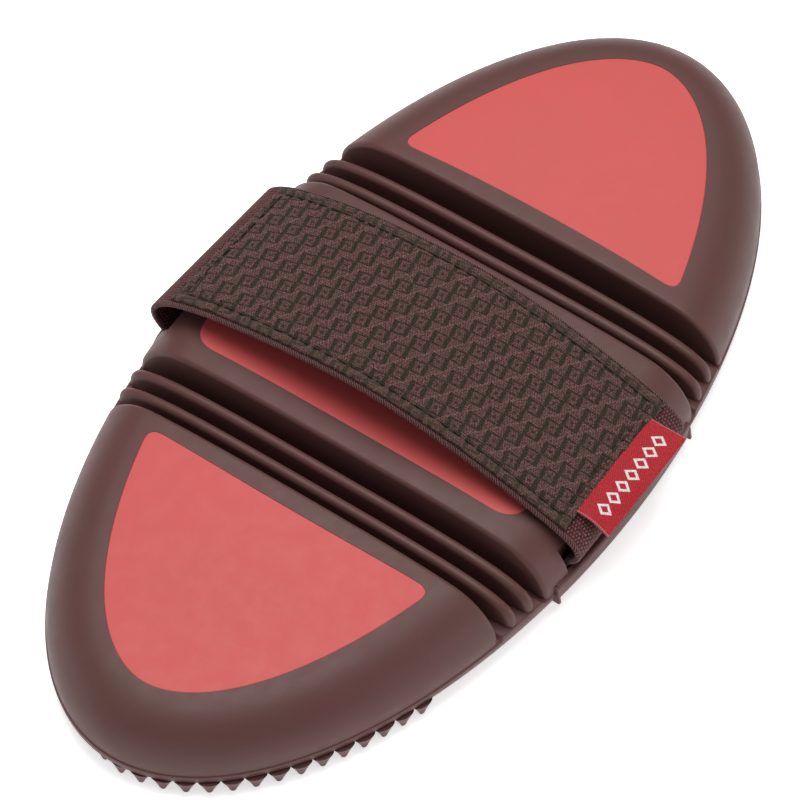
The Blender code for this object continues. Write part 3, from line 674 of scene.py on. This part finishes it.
def stitches_mesh(name, material):
    """The running stitch round the panel, stitch by stitch."""
    low = place_at_y(PANEL_LEFT_END) + STITCH_INSET
    high = place_at_y(PANEL_RIGHT_END) - STITCH_INSET
    half = PANEL_HALF_WIDTH - STITCH_INSET
    corners = [(low, -half), (high, -half), (high, half), (low, half), (low, -half)]
    points, faces = [], []
    span = 0.5 + STITCH_FILL * np.linspace(-0.5, 0.5, 9)
    arch = np.sin(PI * np.linspace(0.0, 1.0, 9)) ** 0.6
    top = WEBBING_THICKNESS + PANEL_THICKNESS - 0.22
    for (s0, x0), (s1, x1) in zip(corners, corners[1:]):
        count = round(math.hypot(s1 - s0, x1 - x0) / STITCH_PITCH)
        for i in range(count):
            t = (i + span) / count
            s, x = s0 + (s1 - s0) * t, x0 + (x1 - x0) * t
            line = strap_point(s, x, top - 0.1 + 0.3 * arch)
            rise = strap_point(s, x, top + 1.0) - strap_point(s, x, top)
            more, more_faces = stitch_line(line, rise, STITCH_RADIUS)
            faces += [[v + len(points) for v in face] for face in more_faces]
            points += more.tolist()
    return add_mesh(name, points, faces, material, sharp_degrees=80.0)


def label_line(x):
    """The folded label's upper ply, fold and lower ply as (y, z) from its hinge, and its flat reach."""
    ply = LABEL_PLY_OFFSET
    fold_start = LABEL_REACH - 0.35
    reach = np.linspace(-LABEL_TUCK, fold_start, 30)
    fold = np.linspace(PI / 2, -PI / 2, 9)[1:-1]
    r = np.concatenate([reach, fold_start + ply * np.cos(fold), reach[::-1]])
    h = np.concatenate([np.full(len(reach), ply), ply * np.sin(fold), np.full(len(reach), -ply)])
    near = float(smooth((8.0 - x) / 21.0))
    drop = LABEL_DROOPS[1] + (LABEL_DROOPS[0] - LABEL_DROOPS[1]) * near
    share = np.clip(r / LABEL_REACH, 0.0, 1.0)
    fall = drop * share**1.6 - 0.35 * near * np.sin(PI * share)
    slope = np.arctan(1.6 * drop / LABEL_REACH * share**0.6)
    out = r * (1.0 - 0.11 * near * share)
    return np.column_stack([-(out + h * np.sin(slope)), h * np.cos(slope) - fall]), r, h


def label_mesh(name, material):
    """The folded label, its lines thickened and joined along the panel's end."""
    stations = np.linspace(-LABEL_HALF_LENGTH, LABEL_HALF_LENGTH, 70)
    rows, across, along = [], [], []
    for x in stations:
        line, r, h = label_line(x)
        step = np.gradient(line, axis=0)
        step /= np.linalg.norm(step, axis=1)[:, None]
        out = np.column_stack([step[:, 1], -step[:, 0]]) * LABEL_PLY_HALF_THICKNESS
        loop = np.concatenate([line + out, (line - out)[::-1]])
        rows.append(np.column_stack([np.full(len(loop), x), loop]) + LABEL_HINGE)
        along.append(np.concatenate([r, r[::-1]]))
        across.append(np.full(len(loop), x))
    return cloth_mesh(name, np.array(rows), np.array(across), np.array(along), material)


def strip_sections(side):
    """The strip closing one slot: the left one runs out into the block, the right one ends in thin fins."""
    inner = np.linspace(-STRIP_HALF_LENGTH + 1.4, STRIP_HALF_LENGTH - 1.4, 81)
    tips = np.linspace(STRIP_HALF_LENGTH - 1.3, STRIP_HALF_LENGTH + 0.3, 17)
    sections = []
    for x in np.concatenate([-tips[::-1], inner, tips]):
        out = float(outline_y(x, -0.45))
        if side > 0:
            out -= 0.65 * float(smooth((abs(x) - 19.0) / 5.0))
        fin = float(smooth((abs(x) - (STRIP_HALF_LENGTH - 0.45)) / 0.3)) if side < 0 else 0.0
        low = SOLE_BOTTOM + 0.05 - FIN_DROP * fin
        top = STRIP_TOP - 0.3 * fin
        foot = out + FIN_REACH * fin
        soft, sharp = 0.8, 0.4
        loop = [(STRIP_INNER_Y, top - 0.3), (STRIP_INNER_Y + 0.3, top)]
        for angle in np.linspace(0.0, PI / 2, 8):
            loop.append((out - soft + soft * math.sin(angle), top - soft + soft * math.cos(angle)))
        for angle in np.linspace(0.0, PI / 2, 6):
            loop.append((foot - sharp + sharp * math.cos(angle), low + sharp - sharp * math.sin(angle)))
        loop.append((STRIP_INNER_Y, low))
        loop = np.array(loop)
        sections.append(np.column_stack([np.full(len(loop), x), loop[:, 0] * side, loop[:, 1]]))
    return sections


# ---------------------------------------------------------------- materials


class Value:
    """A number, vector or colour in a shader's tree; arithmetic on it adds Math nodes."""

    def __init__(self, socket):
        self.socket = socket
        self.tree = socket.id_data

    def __add__(self, other):
        return calc("ADD", self, other)

    def __sub__(self, other):
        return calc("SUBTRACT", self, other)

    def __rsub__(self, other):
        return calc("SUBTRACT", other, self)

    def __mul__(self, other):
        return calc("MULTIPLY", self, other)

    def __truediv__(self, other):
        return calc("DIVIDE", self, other)

    def __mod__(self, other):
        return calc("FLOORED_MODULO", self, other)

    def __abs__(self):
        return calc("ABSOLUTE", self)


def plug(node, inputs):
    """Sets a node's inputs, linking those that are Values; a colour may leave out its alpha."""
    for key, value in dict(inputs).items():
        socket = node.inputs[key]
        if isinstance(value, Value):
            value.tree.links.new(value.socket, socket)
        elif socket.type == "RGBA" and len(value) == 3:
            socket.default_value = (*value, 1.0)
        else:
            socket.default_value = value


def make_node(tree, kind, inputs=(), **settings):
    node = tree.nodes.new(kind)
    for key, value in settings.items():
        setattr(node, key, value)
    plug(node, inputs)
    return node


def calc(operation, a, b=0.0):
    tree = (a if isinstance(a, Value) else b).tree
    return Value(make_node(tree, "ShaderNodeMath", {0: a, 1: b}, operation=operation).outputs[0])


def noise(place, scale, detail, roughness):
    inputs = {"Vector": place, "Scale": scale, "Detail": detail, "Roughness": roughness}
    return Value(make_node(place.tree, "ShaderNodeTexNoise", inputs).outputs["Fac"])


def mix(share, a, b):
    """A colour between a and b."""
    return Value(make_node(share.tree, "ShaderNodeMix", {0: share, 6: a, 7: b}, data_type="RGBA").outputs[2])


def spread(value, low, high, to_low=0.0, to_high=1.0):
    """The value's place between low and high, clamped and mapped to the span from to_low to to_high."""
    inputs = {0: value, 1: low, 2: high, 3: to_low, 4: to_high}
    return Value(make_node(value.tree, "ShaderNodeMapRange", inputs).outputs[0])


def wave(value, pitch, phase=0.0):
    """A wave from 0 to 1 of the given pitch."""
    return calc("SINE", value * (2 * PI / pitch) + phase) * 0.5 + 0.5


def new_material(name, settings):
    material = bpy.data.materials.new(name)
    material.use_nodes = True
    shader = material.node_tree.nodes["Principled BSDF"]
    plug(shader, settings)
    return material, shader


def add_bump(shader, height, strength, distance):
    inputs = {"Height": height, "Strength": strength, "Distance": distance}
    plug(shader, {"Normal": Value(make_node(height.tree, "ShaderNodeBump", inputs).outputs[0])})


def object_place(shader):
    return Value(make_node(shader.id_data, "ShaderNodeTexCoord").outputs["Object"])


def cloth_place(shader):
    """The flat cloth's coordinates in millimetres: both together, across it, and along it."""
    tree = shader.id_data
    cloth = Value(make_node(tree, "ShaderNodeAttribute", attribute_name="cloth").outputs["Vector"])
    to_mm = {0: cloth, 1: (1 / MM, 1 / MM, 1 / MM)}
    flat = Value(make_node(tree, "ShaderNodeVectorMath", to_mm, operation="MULTIPLY").outputs[0])
    parts = make_node(tree, "ShaderNodeSeparateXYZ", {0: flat})
    return flat, Value(parts.outputs[0]), Value(parts.outputs[1])


def rubber(name, colour, shade, roughness):
    """Moulded rubber: slow colour drift, faint handling marks and a fine matt skin."""
    material, shader = new_material(name, {"Roughness": roughness, "Specular IOR Level": 0.29})
    place = object_place(shader)
    drift = noise(place, 38.0, 4.0, 0.6)
    marks = noise(place, 210.0, 5.0, 0.7)
    grain = noise(place, 2600.0, 2.0, 0.5)
    pale = tuple(c * 1.35 + 0.015 for c in colour)
    base = mix(spread(drift, 0.32, 0.68), colour, shade)
    base = mix(spread(marks, 0.58, 0.8, 0.0, 0.2), base, pale)
    worn = spread(marks, 0.3, 0.75, roughness - 0.06, roughness + 0.09)
    plug(shader, {"Base Color": base, "Roughness": worn})
    add_bump(shader, marks * 0.5 + grain * 0.25, 0.16, 0.0002)
    return material


def webbing_cloth(name):
    """Coarse polyester webbing: maroon cords with painted shade in the gaps between cords and beads, and a
    cord along each edge with a painted highlight on each rib and painted shade between ribs.
    """
    settings = {"Roughness": 0.8, "Specular IOR Level": 0.25, "Sheen Weight": 0.08, "Sheen Roughness": 0.4}
    material, shader = new_material(name, settings)
    flat, x, s = cloth_place(shader)
    twist = wave(x * 0.9 + s, 0.36)
    yarn = noise(flat, 1.9, 3.0, 0.65)
    base = mix(spread(yarn, 0.34, 0.66), (0.084, 0.02, 0.021), (0.238, 0.077, 0.074))
    gap = wave(x, CORD_PITCH, PI / 2)
    lane = calc("FLOOR", x / CORD_PITCH) % 2.0
    wander = s + (yarn - 0.5) * 0.7
    bead = calc("COSINE", wander * (2 * PI / BEAD_PITCH) + lane * PI) * 0.5 + 0.5
    hollow = calc("MAXIMUM", spread(gap, 0.5, 0.95), spread(bead, 0.6, 0.15))
    # Painted shade: the gaps between the cords and between the beads are darkened almost to black.
    base = mix(hollow * 0.92, base, (0.012, 0.003, 0.003))
    base = mix(twist * 0.25, base, (0.035, 0.012, 0.013))
    edge_start = WEBBING_HALF_WIDTH - EDGE_CORD
    edge = spread(abs(x), edge_start, edge_start + 0.3)
    leaning = s + yarn * 0.5 + x * 1.1
    rib = spread(wave(leaning, EDGE_RIB_PITCH), 0.3, 0.8)
    # Painted highlight and shade on the edge cords: each rib is coloured pale and the groove between ribs
    # dark.
    ribbed = mix(rib, (0.022, 0.007, 0.008), (0.155, 0.068, 0.062))
    plug(shader, {"Base Color": mix(edge * 0.85, base, ribbed)})
    add_bump(shader, twist * 0.6 + yarn + edge * rib * 2.0, 0.6, 0.00014)
    return material


def trellis(x, s):
    """The same trellis as motif(), as shader values, with a dot in each rhombus: dark stroke, light line."""
    cosine, sine = math.cos(ROW_TURN), math.sin(ROW_TURN)
    u = x * cosine + s * sine
    v = s * cosine - x * sine
    row = calc("FLOOR", v / ROW_PITCH)
    a = ((u / RHOMBUS_PITCH + row % 2.0 * 0.5) % 1.0 - 0.5) * RHOMBUS_PITCH
    b = v - (row + 0.5) * ROW_PITCH
    half_a, half_b = RHOMBUS_HALF
    total = abs(a) / half_a + abs(b) / half_b
    ring = abs(total - 1.0) * (half_a * half_b / math.hypot(half_a, half_b))
    slant = calc("GREATER_THAN", a * b, 0.0)
    width = slant * (THICK_STROKE - THIN_STROKE) + THIN_STROKE
    stroke = spread(ring - width, 0.06, -0.06)
    dot = spread(total, 0.27, 0.2)
    line = spread(abs(b) - ROW_PITCH / 2, -0.24, -0.14)
    return calc("MAXIMUM", stroke, dot), line


def jacquard_cloth(name):
    """Patterned panel: mauve-brown ground, dark green-black trellis and thin lighter lines, all woven."""
    settings = {"Roughness": 0.85, "Specular IOR Level": 0.2, "Sheen Weight": 0.06, "Sheen Roughness": 0.4}
    material, shader = new_material(name, settings)
    flat, x, s = cloth_place(shader)
    fray = (noise(flat, 2.6, 2.0, 0.6) - 0.5) * 0.5
    stroke, line = trellis(x + fray, s + fray)
    fine = noise(flat, 2.3, 2.0, 0.7)
    coarse = noise(flat, 0.3, 3.0, 0.6)
    warp, weft = wave(x, 0.5), wave(s + x * 0.55, 0.56)
    ground = mix(spread(fine, 0.42, 0.58), (0.048, 0.020, 0.018), (0.155, 0.071, 0.068))
    ground = mix(spread(coarse, 0.42, 0.68, 0.0, 0.55), ground, (0.068, 0.05, 0.034))
    ground = mix(line * spread(fine, 0.4, 0.62, 0.1, 0.7), ground, (0.19, 0.11, 0.085))
    dark = mix(spread(fine, 0.36, 0.66), (0.011, 0.0105, 0.005), (0.035, 0.030, 0.0155))
    base = mix(stroke * 0.92, ground, dark)
    base = mix(spread(warp * weft, 0.05, 0.7) * 0.68, base, (0.014, 0.008, 0.006))
    outer = (PANEL_HALF_WIDTH - STITCH_INSET) - abs(x)
    base = mix(spread(outer, 0.0, -0.3) * 0.3, base, (0.06, 0.042, 0.026))
    # Painted shade: the cloth is darkened within half a millimetre of the stitch line, where the seam is
    # pressed in.
    base = mix(spread(abs(outer), 0.5, 0.15) * 0.4, base, (0.012, 0.012, 0.007))
    plug(shader, {"Base Color": base})
    add_bump(shader, fine + warp - weft * 0.6, 0.65, 0.00013)
    return material


def thread_cloth(name):
    """Dark twisted sewing thread."""
    material, shader = new_material(name, {"Roughness": 0.75, "Specular IOR Level": 0.2})
    inputs = {"Vector": object_place(shader), "Scale": 900.0, "Distortion": 1.5}
    twist = Value(make_node(shader.id_data, "ShaderNodeTexWave", inputs).outputs["Fac"])
    plug(shader, {"Base Color": mix(twist, (0.013, 0.010, 0.006), (0.05, 0.038, 0.024))})
    add_bump(shader, twist, 0.4, 0.0001)
    return material


def label_cloth(name):
    """Fine red satin weave with a plain white row of lozenges."""
    material, shader = new_material(name, {"Roughness": 0.65, "Specular IOR Level": 0.2})
    flat, x, r = cloth_place(shader)
    weave = wave(x, 0.46) * wave(r + x * 0.5, 0.5)
    fine = noise(flat, 2.4, 2.0, 0.6)
    base = mix(spread(fine, 0.3, 0.7), (0.285, 0.009, 0.015), (0.465, 0.021, 0.03))
    base = mix(weave * 0.7, base, (0.1, 0.002, 0.005))
    cell = abs((x + LOZENGE_PITCH / 2) % LOZENGE_PITCH - LOZENGE_PITCH / 2)
    lozenge = cell / LOZENGE_HALF[0] + abs(r - LOZENGE_ROW_AT) / LOZENGE_HALF[1]
    in_row = spread(abs(x), LOZENGE_ROW_HALF + 0.1, LOZENGE_ROW_HALF - 0.1)
    white = spread(lozenge, 1.05, 0.95) * spread(lozenge, 0.5, 0.6) * in_row
    pale = mix(spread(fine, 0.3, 0.7), (0.5, 0.42, 0.42), (0.75, 0.7, 0.69))
    base = mix(white, base, pale)
    cut_edge = spread(abs(x), LABEL_HALF_LENGTH - 0.25, LABEL_HALF_LENGTH - 0.1)
    base = mix(cut_edge * 0.3, base, (0.6, 0.35, 0.35))
    plug(shader, {"Base Color": base})
    add_bump(shader, weave + fine * 0.6, 0.5, 0.0001)
    return material


BROWN = rubber("brown_rubber", (0.091, 0.031, 0.031), (0.080, 0.036, 0.029), 0.5)
CORAL = rubber("coral_rubber", (0.505, 0.071, 0.071), (0.475, 0.073, 0.066), 0.52)
WEBBING = webbing_cloth("woven_webbing")
JACQUARD = jacquard_cloth("patterned_panel")
THREAD = thread_cloth("dark_thread")
LABEL = label_cloth("red_label")


# ---------------------------------------------------------------- assembly


def place_piece(obj, body, slot, *nodes):
    """Lets a piece ride on a body, in place of the CAD nodes it stands for, which it hides; slot is not
    used.
    """
    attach(obj, body)
    if nodes:
        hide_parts(*nodes)
    return obj


def build_end(word, side):
    """One end of the comb: its block, pad, floor and teeth, and the flex zone up to the middle block."""
    section = word + "_section"
    outline = end_pad_outline(side)
    sections = [s * (side, 1, 1) for s in end_block_sections()]
    shell = loft(word + "_block", sections, BROWN, caps=(True, False))
    recess = prism("recess", inner_offset(outline, -PAD_GAP), PAD_FLOOR - 0.1, CROWN_TOP + 5)
    place_piece(cut(shell, [recess], BROWN), section, "body_rubber", word + "_shell")
    place_piece(pad_mesh(word + "_inlay", outline, CORAL), section, "pad_rubber", word + "_pad")
    place_piece(end_sole_mesh(word + "_floor", side, BROWN), section, "body_rubber", word + "_sole")
    field = [(side * x, y) for x, y in field_places(HINGES[2], HALF_LENGTH - FIELD_INSET, END_FIELD_FROM)]
    groups = [(rim_places(side), RIM_TOOTH, RIM_TOOTH_FLATNESS), (field, FIELD_TOOTH, 1.0)]
    place_piece(teeth_mesh(word + "_teeth", groups, BROWN), section, "body_rubber")
    bodies = ["centre_section", word + "_inner_flex", word + "_outer_flex", section]
    for i, (which, rib_x) in enumerate((("inner", INNER_RIB), ("outer", OUTER_RIB))):
        rib = loft(f"{word}_{which}_ridge", rib_sections(side * rib_x), BROWN)
        place_piece(rib, bodies[i + 1], "body_rubber", f"{word}_{which}_rib")
        middle = side * (HINGES[i] + HINGES[i + 1]) / 2
        row = [(middle, step * RIB_TOOTH_PITCH) for step in range(-4, 5)]
        teeth = teeth_mesh(f"{word}_{which}_row", [(row, SMALL_TOOTH, 1.0)], BROWN)
        place_piece(teeth, bodies[i + 1], "body_rubber", f"{word}_{which}_rib_sole")
    for i, (which, hinge) in enumerate(zip(("inner", "middle", "outer"), HINGES)):
        sections = sole_strip_sections(side * SEAMS[i], side * SEAMS[i + 1], 25, groove_lift)
        strip = loft(f"{word}_groove_{which}", sections, BROWN)
        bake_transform(strip)


def box_outline(half_x, low_y, high_y):
    return [(-half_x, low_y), (half_x, low_y), (half_x, high_y), (-half_x, high_y)]


def build_centre():
    """The middle block, its pad, floor and teeth, and the strips that close the strap's two slots."""
    body = "centre_section"
    outline = centre_pad_outline()
    shell = loft("centre_block", centre_block_sections(), BROWN)
    cutters = [prism("recess", inner_offset(outline, -PAD_GAP), PAD_FLOOR - 0.1, CROWN_TOP + 5)]
    for side in (-1, 1):
        slot = sorted((side * SLOT_INNER_Y, side * (HALF_WIDTH + 9)))
        notch = sorted((side * (STRIP_INNER_Y - 0.15), side * (HALF_WIDTH + 8)))
        cutters.append(prism("slot", box_outline(SLOT_HALF_LENGTH, *slot), SOLE_TOP + 0.3, CROWN_TOP + 4))
        cutters.append(prism("notch", box_outline(STRIP_HALF_LENGTH + 0.15, *notch), 0.0, STRIP_TOP + 0.12))
    place_piece(cut(shell, cutters, BROWN), body, "body_rubber", "centre_shell")
    place_piece(pad_mesh("centre_inlay", outline, CORAL), body, "pad_rubber", "centre_pad")
    sections = sole_strip_sections(-SEAMS[0], SEAMS[0], 61, lambda x: 0.0)
    place_piece(loft("centre_floor", sections, BROWN), body, "body_rubber", "centre_sole")
    field = [p for p in field_places(-HINGES[0], HINGES[0], CENTRE_FIELD_FROM) if math.hypot(*p) > 1.0]
    groups = [(field, FIELD_TOOTH, 1.0), ([(0.0, 0.0)], MIDDLE_TOOTH, 1.0)]
    teeth = teeth_mesh("centre_teeth", groups, BROWN)
    place_piece(teeth, body, "body_rubber")
    for word, side in (("left", 1), ("right", -1)):
        strip = loft(word + "_strap_keeper", strip_sections(side), BROWN)
        place_piece(strip, body, "body_rubber", word + "_strap_strip")


def build_strap():
    """The webbing, its panel and stitching, and the label, which rides on a body of its own."""
    body = "centre_section"
    strap = place_piece(webbing_mesh("hand_strap", WEBBING), body, "webbing", "strap_webbing")
    cover = place_piece(panel_mesh("strap_cover", JACQUARD), body, "panel_fabric", "strap_panel")
    seam = place_piece(stitches_mesh("cover_stitches", THREAD), body, "thread", "panel_stitching")
    label = place_piece(label_mesh("folded_label", LABEL), "label", "label_fabric", "side_label")


# ---------------------------------------------------------------- stage


CAMERA_AZIMUTH = math.radians(-55.85)
CAMERA_ELEVATION = math.radians(54.61)
CAMERA_ROLL = math.radians(0.5)
CAMERA_DISTANCE = 885.23
CAMERA_ASIDE = -3.305
CAMERA_ABOVE = -9.173
CAMERA_LENS = 195.63

# Each area light: where it stands and what it aims at, its two sides, power and colour.
LIGHTS = {
    "overhead": ((0.18, 0.15, 0.9), (0.0, 0.0, 0.0), (0.62, 0.85), 9.25, (1.0, 0.985, 0.97)),
    "left_fill": ((-0.5, 0.72, 0.22), (0.0, 0.0, 0.02), (0.5, 0.25), 0.9, (0.97, 0.97, 1.0)),
    "right_fill": ((0.3, -0.82, 0.2), (0.0, 0.0, 0.02), (0.6, 0.25), 2.0, (0.97, 0.97, 1.0)),
    "near_fill": ((-0.84, -0.2, 0.14), (-0.1, 0.0, 0.02), (0.5, 0.16), 0.65, (0.97, 0.97, 1.0)),
}
FLOOR_HALF_SIDE = 6.0


def add_camera():
    """A long lens looking down over the near end, a touch rolled."""
    azimuth, elevation, roll = CAMERA_AZIMUTH, CAMERA_ELEVATION, CAMERA_ROLL
    reach = math.cos(elevation)
    back = Vector((math.sin(azimuth) * reach, -math.cos(azimuth) * reach, math.sin(elevation)))
    level = Vector((math.cos(azimuth), math.sin(azimuth), 0.0))
    upright = back.cross(level)
    right = level * math.cos(roll) + upright * math.sin(roll)
    up = upright * math.cos(roll) - level * math.sin(roll)
    offset = right * CAMERA_ASIDE + up * CAMERA_ABOVE + back * CAMERA_DISTANCE
    place = (offset + Vector((0.0, 0.0, CROWN_TOP))) * MM
    camera = bpy.data.cameras.new("camera")
    camera.lens = CAMERA_LENS
    camera.sensor_width = 36.0
    camera.clip_start = 0.05
    camera.clip_end = 50.0
    obj = add_object("camera", camera)
    obj.matrix_world = Matrix.Translation(place) @ Matrix((right, up, back)).transposed().to_4x4()
    bpy.context.scene.camera = obj


def add_light(name, place, aim, size, power, colour):
    light = bpy.data.lights.new(name, "AREA")
    light.shape = "RECTANGLE"
    light.size, light.size_y = size
    light.energy = power
    light.color = colour
    obj = add_object(name, light)
    obj.location = place
    obj.rotation_mode = "QUATERNION"
    obj.rotation_quaternion = (Vector(aim) - Vector(place)).to_track_quat("-Z", "Y")
    obj.visible_camera = False


def add_sky():
    """A dim sky, brighter overhead and in a narrow band round the horizon."""
    world = bpy.data.worlds.new("studio")
    world.use_nodes = True
    tree = world.node_tree
    direction = Value(make_node(tree, "ShaderNodeTexCoord").outputs["Generated"])
    height = Value(make_node(tree, "ShaderNodeSeparateXYZ", {0: direction}).outputs[2])
    overhead = spread(height, 0.25, 0.95, 0.1, 0.5)
    horizon = spread(height, 0.16, 0.06, 0.0, 0.75)
    plug(tree.nodes["Background"], {"Color": (0.99, 0.99, 1.0, 1.0), "Strength": overhead + horizon})
    bpy.context.scene.world = world


def add_stage():
    """A white floor that glows a little, so that it stays white round the comb, and the lights."""
    settings = {"Roughness": 0.9, "Specular IOR Level": 0.1, "Base Color": (0.94, 0.94, 0.94, 1.0)}
    glow = {"Emission Color": (1.0, 1.0, 1.0, 1.0), "Emission Strength": 0.58}
    floor_material = new_material("floor_white", {**settings, **glow})[0]
    half = FLOOR_HALF_SIDE
    corners = [(-half, -half, 0), (half, -half, 0), (half, half, 0), (-half, half, 0)]
    mesh = bpy.data.meshes.new("floor")
    mesh.from_pydata(corners, [], [(0, 1, 2, 3)])
    mesh.materials.append(floor_material)
    add_object("floor", mesh)
    add_sky()
    for name, values in LIGHTS.items():
        add_light(name, *values)
    bpy.context.scene.view_settings.view_transform = "Standard"


build_centre()
build_end("front", -1)
build_end("rear", 1)
build_strap()
add_camera()
add_stage()
